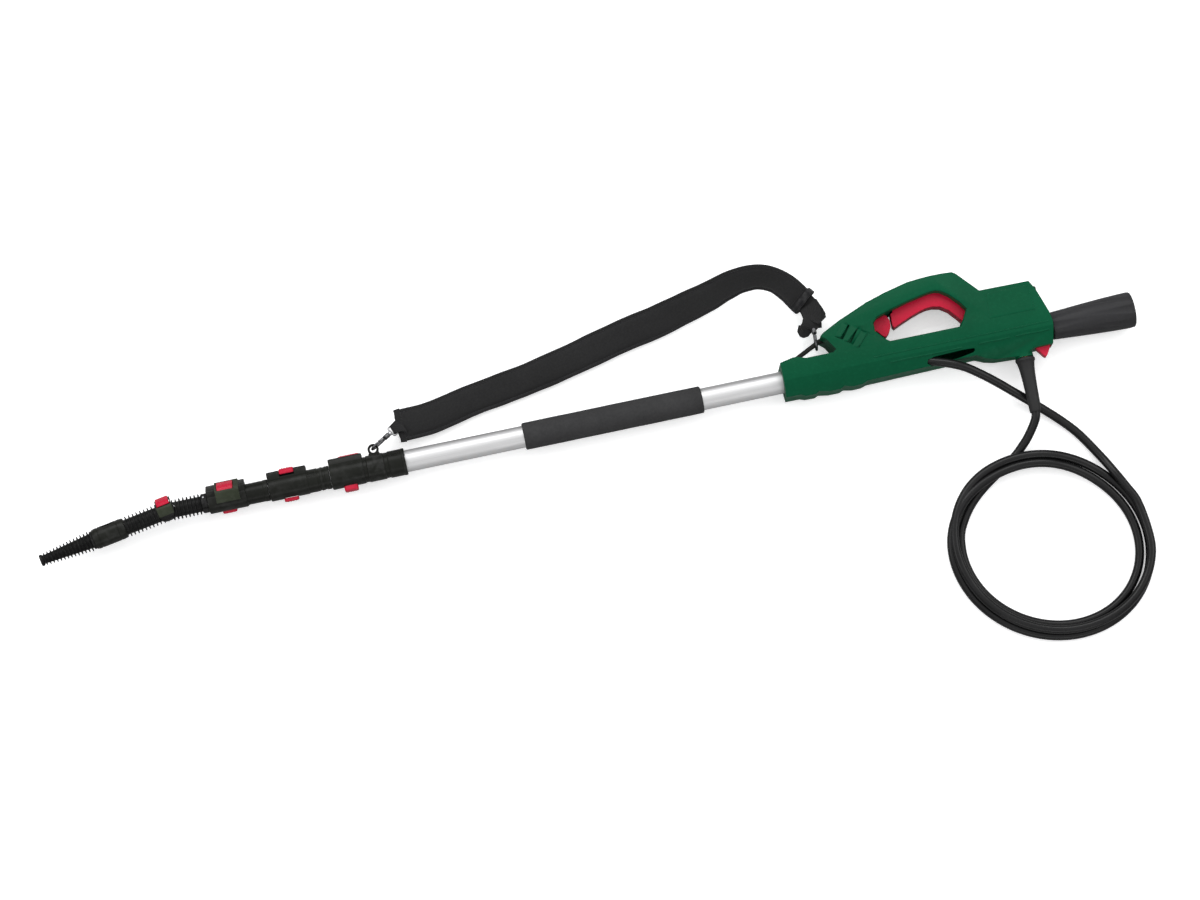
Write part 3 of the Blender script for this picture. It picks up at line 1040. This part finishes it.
for n in ("trigger_pin", "trigger_lock_pin", "rear_lever_pin", "valve_plunger", "valve_spring"):
    node = frame["nodes"][n]
    node.data.materials.clear()
    node.data.materials.append(PIN)
for n in ("valve_body", "outlet_elbow"):
    node = frame["nodes"][n]
    node.data.materials.clear()
    node.data.materials.append(BRASS)
for k, (sx, sy) in enumerate([(-153, -21.4), (-88, -21.4), (-72, 33), (20, 87.2), (157, 52)]):
    head = temp(lathe([(-15.3, 0), (-15.3, 2.7), (-15.0, 3.2), (-14.5, 3.5), (-12.3, 3.5), (-12.3, 1.5), (10, 1.5), (10.6, 0.9), (10.6, 0)], 40), Matrix.Translation((sx, sy, AX)) @ Matrix(((0, 1, 0, 0), (0, 0, 1, 0), (1, 0, 0, 0), (0, 0, 0, 1))))
    star = []
    for i in range(24):
        a = 2 * math.pi * i / 24
        star.append((1.55 + 0.42 * math.cos(6 * a)) * np.array((math.cos(a), math.sin(a))))
    head = boolean(head, [temp(skin([[(sx + p[0], sy + p[1], z) for p in star] for z in (AX - 16, AX - 13.6)]))])
    make(f"housing_screw_{k + 1}_torx", *to_vf(head), STEEL, "root", "steel", f"housing_screw_{k + 1}", 35)


# ------------------------------------------------------------------ snap hooks
def hook(prefix, at, heading, pitch, eye_w):
    H = Matrix.Translation(at) @ Matrix.Rotation(rad(heading), 4, 'Z') @ Matrix.Rotation(-rad(pitch), 4, 'Y')
    loop = [(22.6, 0, -0.6), (22.2, 0, -3.4), (20.4, 0, -5.8), (17.2, 0, -6.6), (12, 0, -6.65), (6.6, 0, -6.5), (3.2, 0, -5.6), (0.6, 0, -3.2), (-0.35, 0, 0), (0.6, 0, 3.2), (3.2, 0, 5.6), (6.4, 0, 6.5), (9.6, 0, 6.6)]
    path = smooth_path(loop, 1.0)
    a = sweep(path, circ(1.95, 14, 1.7), start_up=(0, 1, 0))
    knuckle = sweep(smooth_path([(22.6, 0, 0.4), (22.4, 0, 3.0), (21.2, 0, 5.4), (20.0, 0, 6.5)], 0.8), circ(1.95, 14, 1.7), start_up=(0, 1, 0))
    neck = lathe(round_poly([(21.6, 0), (21.6, 3.0), (22.6, 3.4), (29.2, 3.4), (30, 2.8), (30, 0)], [0, 0.4, 0.6, 0.5, 0.4, 0], 3, closed=False), 36)
    make(prefix + "_body_cast", *merge(a, knuckle, neck), STEEL, "root", "steel", prefix + "_body", 45, M=H)
    g = puck(round_poly([(10.4, -1.75), (19.2, -1.75), (19.2, 1.75), (10.4, 1.75)], 0.8, 3), 5.3, 8.0, 0.6, 0.6, 3)
    thumb = puck([(12.6 + 1.3 * math.cos(2 * math.pi * k / 16), 1.3 * math.sin(2 * math.pi * k / 16)) for k in range(16)], 7.6, 9.6, 0.6, 0, 3)
    make(prefix + "_gate_cast", *merge(g, thumb), STEEL, prefix + "_gate", "steel", prefix + "_gate", 45, M=H)
    e0, w = 30.4, eye_w / 2
    barrel = lathe(round_poly([(e0, 0), (e0, 2.8), (e0 + 0.6, 3.2), (e0 + 3.4, 3.2), (e0 + 4.2, 2.2), (e0 + 4.2, 0)], [0, 0.3, 0.4, 0.6, 0.3, 0], 3, closed=False), 32)
    ring = round_poly([(e0 + 4.1, -w + 1.1), (e0 + 9.9, -w + 1.1), (e0 + 9.9, w - 1.1), (e0 + 4.1, w - 1.1)], 2.2, 5)
    eye = sweep([(p[0], p[1], 0) for p in ring], circ(1.1, 12, 1.6), closed=True)
    make(prefix + "_swivel_cast", *merge(barrel, eye), PIN, "root", "steel", prefix + "_swivel", 45, M=H)
    return H


hook("front_hook", (-745.5, 26.2, 27), 32.5, -9, 16)
hook("rear_hook", (-129.6, 35.2, 27), 85.4, 0, 22)

# ------------------------------------------------------------------ shoulder strap
STRAP = [
    (-703.6, 51.4, 19.5, 12, 44), (-662, 54.5, 14.5, 11, 44), (-606, 66.8, 11.5, 11, 43), (-555, 75.1, 11.0, 12, 43), (-507.8, 83.4, 11.5, 13, 43), (-446.4, 96.8, 12.5, 16, 44),
    (-380.7, 112.4, 14, 20, 45), (-333.2, 121.2, 16, 26, 46), (-293.6, 131.1, 18.5, 33, 46), (-258.1, 139.5, 21, 41, 46), (-231.5, 147.8, 23, 48, 46),
    (-208, 152.5, 24.5, 54, 46), (-185, 151.5, 25.5, 56, 45), (-165, 142.5, 26, 55, 44), (-149, 127, 26.2, 49, 43), (-136, 107, 26.5, 42, 41)]
WEB = [(-130.6, 106.4, 26.5, 28, 28), (-127.4, 99.5, 26.7, 25, 28), (-125.4, 92, 26.9, 23, 27), (-125.2, 85.5, 27, 21, 26), (-125.8, 79.4, 27, 20, 25)]


class Ribbon:
    """A flat run: where its middle is, and its lengthwise, crosswise and thickness directions."""

    def __init__(self, path):
        self.path = path
        self.pts = [p[:3] for p in path]
        d = np.array([catmull(self.pts, k / 1500) for k in range(1501)])
        self.al = np.concatenate([[0], np.cumsum(np.linalg.norm(np.diff(d, axis=0), axis=1))])
        self.length = float(self.al[-1])

    def at(self, s):
        u = float(np.interp(s, self.al, np.linspace(0, 1, 1501)))
        o = catmull(self.pts, u)
        d = catmull(self.pts, min(1, u + 1e-3)) - catmull(self.pts, max(0, u - 1e-3))
        d /= np.linalg.norm(d)
        k = u * (len(self.path) - 1)
        i = min(int(k), len(self.path) - 2)
        t = k - i
        t = t * t * (3 - 2 * t)
        tilt = rad(self.path[i][3] * (1 - t) + self.path[i + 1][3] * t)
        w = self.path[i][4] * (1 - t) + self.path[i + 1][4] * t
        flat = np.cross((0, 0, 1), d)
        flat /= np.linalg.norm(flat)
        upv = np.cross(d, flat)
        wide = flat * math.cos(tilt) + upv * math.sin(tilt)
        thin = np.cross(d, wide)
        return o, d, wide, thin / np.linalg.norm(thin), w


pad = Ribbon(STRAP)
HALF = [(0.0, 0.0), (0.25, 0.75), (0.9, 1.35), (1.8, 1.6), (2.9, 1.55), (3.7, 1.25), (4.3, 0.95), (4.9, 0.8), (5.6, 1.15), (6.6, 1.9), (8.2, 2.65), (10.5, 3.2), (14.0, 3.55), (18.0, 3.7)]


def pad_mesh():
    step, verts, faces, uvs = 2.5, [], [], []
    n = int(pad.length / step)
    for i in range(n + 1):
        s = pad.length * i / n
        o, d, wide, thin, w = pad.at(s)
        end = min(s, pad.length - s)
        fill = min(1.0, 0.30 + 0.70 * (1 - math.exp(-max(0.0, end - 6) / 7.0))) if end > 6 else 0.30
        hem = 1.0 if end > 1.2 else 0.55 + 0.45 * end / 1.2
        ring = []
        e_list = [e for e, h in HALF] + [w / 2]
        h_list = [h for e, h in HALF] + [3.75]
        cross = [(-w / 2 + e, h) for e, h in zip(e_list, h_list)] + [(w / 2 - e, h) for e, h in list(zip(e_list, h_list))[-2::-1]]
        rise = 1.0 + 0.0 * s
        for side in (1, -1):
            seq = cross if side > 0 else cross[-2:0:-1]
            for v_, h in seq:
                e = w / 2 - abs(v_)
                hh = h if e <= 4.9 else 0.8 + (h - 0.8) * fill
                hh *= hem if e > 0 else 1
                q = Vector((s * 0.022, v_ * 0.045, 3.1))
                wr = 0.55 * noise.noise(q) + 0.35 * noise.noise(q * 2.7)
                bend = max(0.0, min(1.0, (s - 470) / 60)) * max(0.0, min(1.0, (pad.length - s) / 30))
                wr += bend * 0.75 * math.sin(s * 0.42 + 0.07 * v_) * max(0.0, -v_ / (w / 2)) * (1 if e > 5 else 0.25)
                wr *= min(1.0, e / 6) * fill
                edge_wave = 0.45 * noise.noise(Vector((s * 0.03, 7.0 if v_ > 0 else 11.0, 0))) * (1 - min(1.0, e / 12))
                sag = 0.9 * noise.noise(Vector((s * 0.011, 0.3, 5.5)))
                pt = o + wide * (v_ + edge_wave * 1.6) + thin * (side * hh + side * 0.5 * wr + edge_wave + 0 * sag)
                ring.append((tuple(pt), (s * MM, (v_ + (0 if side > 0 else 100)) * MM)))
        verts += [r[0] for r in ring]
        uvs += [r[1] for r in ring]
        cnt = len(ring)
    for i in range(n):
        for k in range(cnt):
            k1 = (k + 1) % cnt
            a, b = i * cnt, (i + 1) * cnt
            faces.append((a + k, a + k1, b + k1, b + k))
    for base, s, flip in ((0, 0, True), (n * cnt, pad.length, False)):
        o, d, wide, thin, w = pad.at(s)
        verts.append(tuple(o + d * (-0.8 if s == 0 else 0.8)))
        uvs.append((s * MM, 0))
        ci = len(verts) - 1
        for k in range(cnt):
            k1 = (k + 1) % cnt
            faces.append((base + k1, base + k, ci) if flip else (base + k, base + k1, ci))
    return verts, faces, uvs


v, f, uvs = pad_mesh()
strap = make("shoulder_pad", v, f, PAD, "root", "cloth", "strap_pad", 50, uv=uvs)


def stitch(a, b, out, r=0.36, side=None):
    """One raised stitch from a to b, bowed away from the cloth."""
    a, b, out = np.array(a), np.array(b), np.array(out)
    pts = [a - out * 0.25, a + (b - a) * 0.2 + out * 0.22, a + (b - a) * 0.5 + out * 0.3, a + (b - a) * 0.8 + out * 0.22, b - out * 0.25]
    return sweep(pts, circ(r, 6), scale=None, start_up=tuple(out))


def stitch_rows():
    parts = []
    for e in (4.6,):
        s = 5.0
        while s < pad.length - 7:
            for sgn in (1, -1):
                for side in (1, -1):
                    o0, d, wide, thin, w = pad.at(s)
                    o1, d1, wide1, thin1, w1 = pad.at(s + 2.7)
                    a = o0 + wide * sgn * (w / 2 - e) + thin * side * 0.95
                    b = o1 + wide1 * sgn * (w1 / 2 - e) + thin1 * side * 0.95
                    parts.append(stitch(a, b, thin * side))
            s += 3.9
    for s in (4.6, 9.0, pad.length - 4.6, pad.length - 9.0):
        o0, d, wide, thin, w = pad.at(s)
        x = -w / 2 + 5.5
        while x < w / 2 - 6:
            for side in (1, -1):
                a = o0 + wide * x + thin * side * 1.15
                b = o0 + wide * (x + 2.7) + thin * side * 1.15
                parts.append(stitch(a, b, thin * side))
            x += 3.9
    return merge(*parts)


v, f = stitch_rows()
make("shoulder_pad_stitches", v, f, THREAD, "root", "cloth", None, 60, uv=[(p[0] * MM, p[1] * MM) for p in v])

web = Ribbon(WEB)


def band(ribbon, s0, s1, off, width_add=0.0, thick=1.7, step=1.6, extra=None, wscale=None):
    """A flat woven band along a ribbon, lifted by off; extra is a list of (point, wide, thin) that carries it on."""
    rows = []
    n = max(2, int(abs(s1 - s0) / step))
    for i in range(n + 1):
        s = s0 + (s1 - s0) * i / n
        o, d, wide, thin, w = ribbon.at(min(max(s, 0), ribbon.length))
        if s < 0:
            o = o + d * s
        rows.append((o + thin * off, wide, thin, (w + width_add) * (wscale(s) if wscale else 1)))
    rows += extra or []
    verts, uvs, run = [], [], 0.0
    sec = rrect(1.0, 1.0, 0.0)
    prev = None
    cnt = None
    for o, wide, thin, w in rows:
        if prev is not None:
            run += float(np.linalg.norm(o - prev))
        prev = o
        ring = []
        m = 11
        for side in (1, -1):
            for k in range(m):
                t = (k / (m - 1)) * 2 - 1
                v_ = t * side * w / 2
                edge = 1 - abs(t) ** 10
                rib = 0.0
                h = thick / 2 * (0.72 + 0.28 * edge)
                ring.append((o + wide * v_ + thin * side * h, (run * MM, (v_ + (0 if side > 0 else 80)) * MM)))
        cnt = len(ring)
        verts += [tuple(r[0]) for r in ring]
        uvs += [r[1] for r in ring]
    faces = []
    m_ = len(rows)
    for i in range(m_ - 1):
        a, b = i * cnt, (i + 1) * cnt
        for k in range(cnt):
            k1 = (k + 1) % cnt
            faces.append((a + k, a + k1, b + k1, b + k))
    faces.append(tuple(range(cnt))[::-1])
    faces.append(tuple(range((m_ - 1) * cnt, m_ * cnt)))
    return verts, faces, uvs


def tail(path, thick=1.9, **kw):
    r = Ribbon(path)
    return band(r, 0.0, r.length, 0.0, 0.0, thick, **kw)


def joined(*bands):
    v, f = merge(*[(b[0], b[1]) for b in bands])
    return v, f, [q for b in bands for q in b[2]]


# the webbing leaves the pad, goes round the swivel eye and comes back on itself; its sewn tail hangs over the swivel
v, f, uvs = joined(
    tail([(-137, 111, 26.4, 36, 27), (-131, 103, 26.6, 30, 28), (-126.6, 94, 26.8, 25, 28), (-125.4, 85, 27, 20, 27), (-126.2, 76.6, 24.0, 12, 24), (-127.0, 71.2, 22.6, 4, 22), (-127.6, 66, 23.4, 0, 22)], 3.0),
    tail([(-127.6, 98, 29.2, 24, 27), (-125.4, 88, 30.4, 14, 26), (-126.4, 79, 31.2, 6, 25), (-130.0, 71.5, 31.0, -6, 24), (-135.0, 66.0, 29.4, -20, 21)], 2.4),
    tail([(-126.2, 98, 30.0, 20, 25), (-121.6, 87, 31.4, 6, 24), (-116.4, 77.4, 31.2, -14, 22), (-113.2, 72.2, 30.0, -30, 18)], 2.4),
    tail([(-136.0, 67.0, 29.4, -30, 20), (-140.6, 63.0, 26.8, -36, 18), (-142.4, 65.0, 23.6, -40, 16), (-138.4, 71.0, 23.0, -28, 17)], 2.4),
    tail([(-123.6, 80.0, 31.0, 10, 13), (-121.6, 71.5, 29.8, 18, 13), (-121.8, 64.0, 26.6, 24, 12)], 2.4),
)
make("strap_end_band", v, f, WEBBING, "root", "cloth", "strap_end_webbing", 50, uv=uvs)
# the front loop: out of the pad's hem, round the swivel eye and back in
v, f, uvs = joined(
    tail([(-700.0, 52.4, 21.0, 12, 24), (-706.4, 50.4, 24.0, 8, 17), (-711.6, 48.4, 25.6, 2, 13), (-714.4, 47.0, 24.2, 0, 12)], 2.2),
    tail([(-700.0, 52.0, 17.4, 12, 24), (-706.4, 49.6, 18.6, 8, 17), (-711.6, 47.8, 20.0, 2, 13), (-714.6, 46.8, 22.4, 0, 12)], 2.2),
)
make("strap_front_loop", v, f, WEBBING, "root", "cloth", None, 50, uv=uvs)
# folded hem across the front end of the pad
o0, d0, w0, t0, _ = pad.at(2.0)
hem = [o0 + w0 * (k / 12 - 0.5) * 45.5 + d0 * (-1.8 + 0.5 * math.sin(k * 1.3)) + t0 * 0.4 * math.sin(k * 0.9) for k in range(13)]
v, f = sweep(smooth_path(hem, 1.5), circ(3.1, 16, 4.4), start_up=tuple(d0))
make("shoulder_pad_hem", v, f, WEBBING, "root", "cloth", None, 60, uv=[(p[0] * MM, p[1] * MM) for p in v])
# the keeper: a flat moulded loop round the webbing where it leaves the pad
kr = Ribbon([(-137, 111, 26.4, 36, 27), (-131, 103, 26.8, 30, 28), (-126.6, 94, 27.2, 25, 28)])
ko, kd, kw, kt, _ = kr.at(7.0)
loops = []
for w_, h_, r_, a_ in ((35.0, 9.6, 1.6, -4.3), (35.6, 10.2, 1.8, -4.7), (38.0, 12.4, 2.4, -4.7), (38.8, 13.2, 2.8, -4.0), (38.8, 13.2, 2.8, 4.0), (38.0, 12.4, 2.4, 4.7), (35.6, 10.2, 1.8, 4.7), (35.0, 9.6, 1.6, 4.3)):
    loops.append([tuple(ko + kd * a_ + kw * p[0] + kt * (p[1] + 0.8)) for p in rrect(w_, h_, r_, 4)])
kn = len(loops[0])
v = [p for l_ in loops for p in l_]
f = [(i * kn + j, i * kn + (j + 1) % kn, (i + 1) % 8 * kn + (j + 1) % kn, (i + 1) % 8 * kn + j) for i in range(8) for j in range(kn)]
make("strap_keeper_loop", v, f, KEEP, "root", "black_plastic", "strap_keeper", 35)

# ------------------------------------------------------------------ floor, light
fm = Mat("studio_floor")
lp = fm.n('ShaderNodeLightPath')
pale = fm.mix(fm.remap(fm.noise(1.5, 2), 0.3, 0.7, 0, 1), (0.86, 0.865, 0.87), (0.88, 0.882, 0.885))
fm.color(fm.mix(lp.outputs['Is Camera Ray'], (0.42, 0.42, 0.42), pale))
fm.set(Roughness=0.9)
fm.p.inputs['Emission Color'].default_value = (1, 1, 1, 1)
fm.l(fm.math('MULTIPLY', lp.outputs['Is Camera Ray'], 0.42), fm.p.inputs['Emission Strength'])
fme = bpy.data.meshes.new("floor")
fme.from_pydata([(-12, -12, 0), (12, -12, 0), (12, 12, 0), (-12, 12, 0)], [], [(0, 1, 2, 3)])
floor = bpy.data.objects.new("floor", fme)
scene.collection.objects.link(floor)
floor.location.z = -0.0004
fme.materials.append(fm.m)

w = bpy.data.worlds.new("studio")
scene.world = w
w.use_nodes = True
bg = w.node_tree.nodes["Background"]
bg.inputs[0].default_value = (1, 1, 1, 1)
bg.inputs[1].default_value = 0.40
nt = w.node_tree
tc = nt.nodes.new("ShaderNodeTexCoord")
sx_ = nt.nodes.new("ShaderNodeSeparateXYZ")
mr = nt.nodes.new("ShaderNodeMapRange")
nt.links.new(tc.outputs["Generated"], sx_.inputs[0])
nt.links.new(sx_.outputs[2], mr.inputs[0])
mr.inputs[1].default_value, mr.inputs[2].default_value = 0.2, 0.95
mr.inputs[3].default_value, mr.inputs[4].default_value = 0.24, 0.98
nt.links.new(mr.outputs[0], bg.inputs[1])


def area(name, loc, target, size, energy, size_y=None):
    d = bpy.data.lights.new(name, 'AREA')
    d.shape = 'RECTANGLE' if size_y else 'SQUARE'
    d.size = size
    if size_y:
        d.size_y = size_y
    d.energy = energy
    o = bpy.data.objects.new(name, d)
    scene.collection.objects.link(o)
    o.location = loc
    o.rotation_euler = (Vector(target) - Vector(loc)).to_track_quat('-Z', 'Y').to_euler()
    return o


area("soft_back", (-0.45, 2.0, 2.3), (-0.45, 0.05, 0), 4.2, 62, 1.5)
area("soft_front", (-0.45, -2.9, 1.3), (-0.45, -0.05, 0), 3.6, 20, 0.9)
area("soft_left", (-3.0, 0.3, 2.0), (-0.6, 0, 0), 2.0, 22)
area("soft_right", (2.3, 0.2, 2.0), (-0.2, 0, 0), 2.0, 22)
scene.view_settings.view_transform = 'Standard'
scene.view_settings.look = 'None'
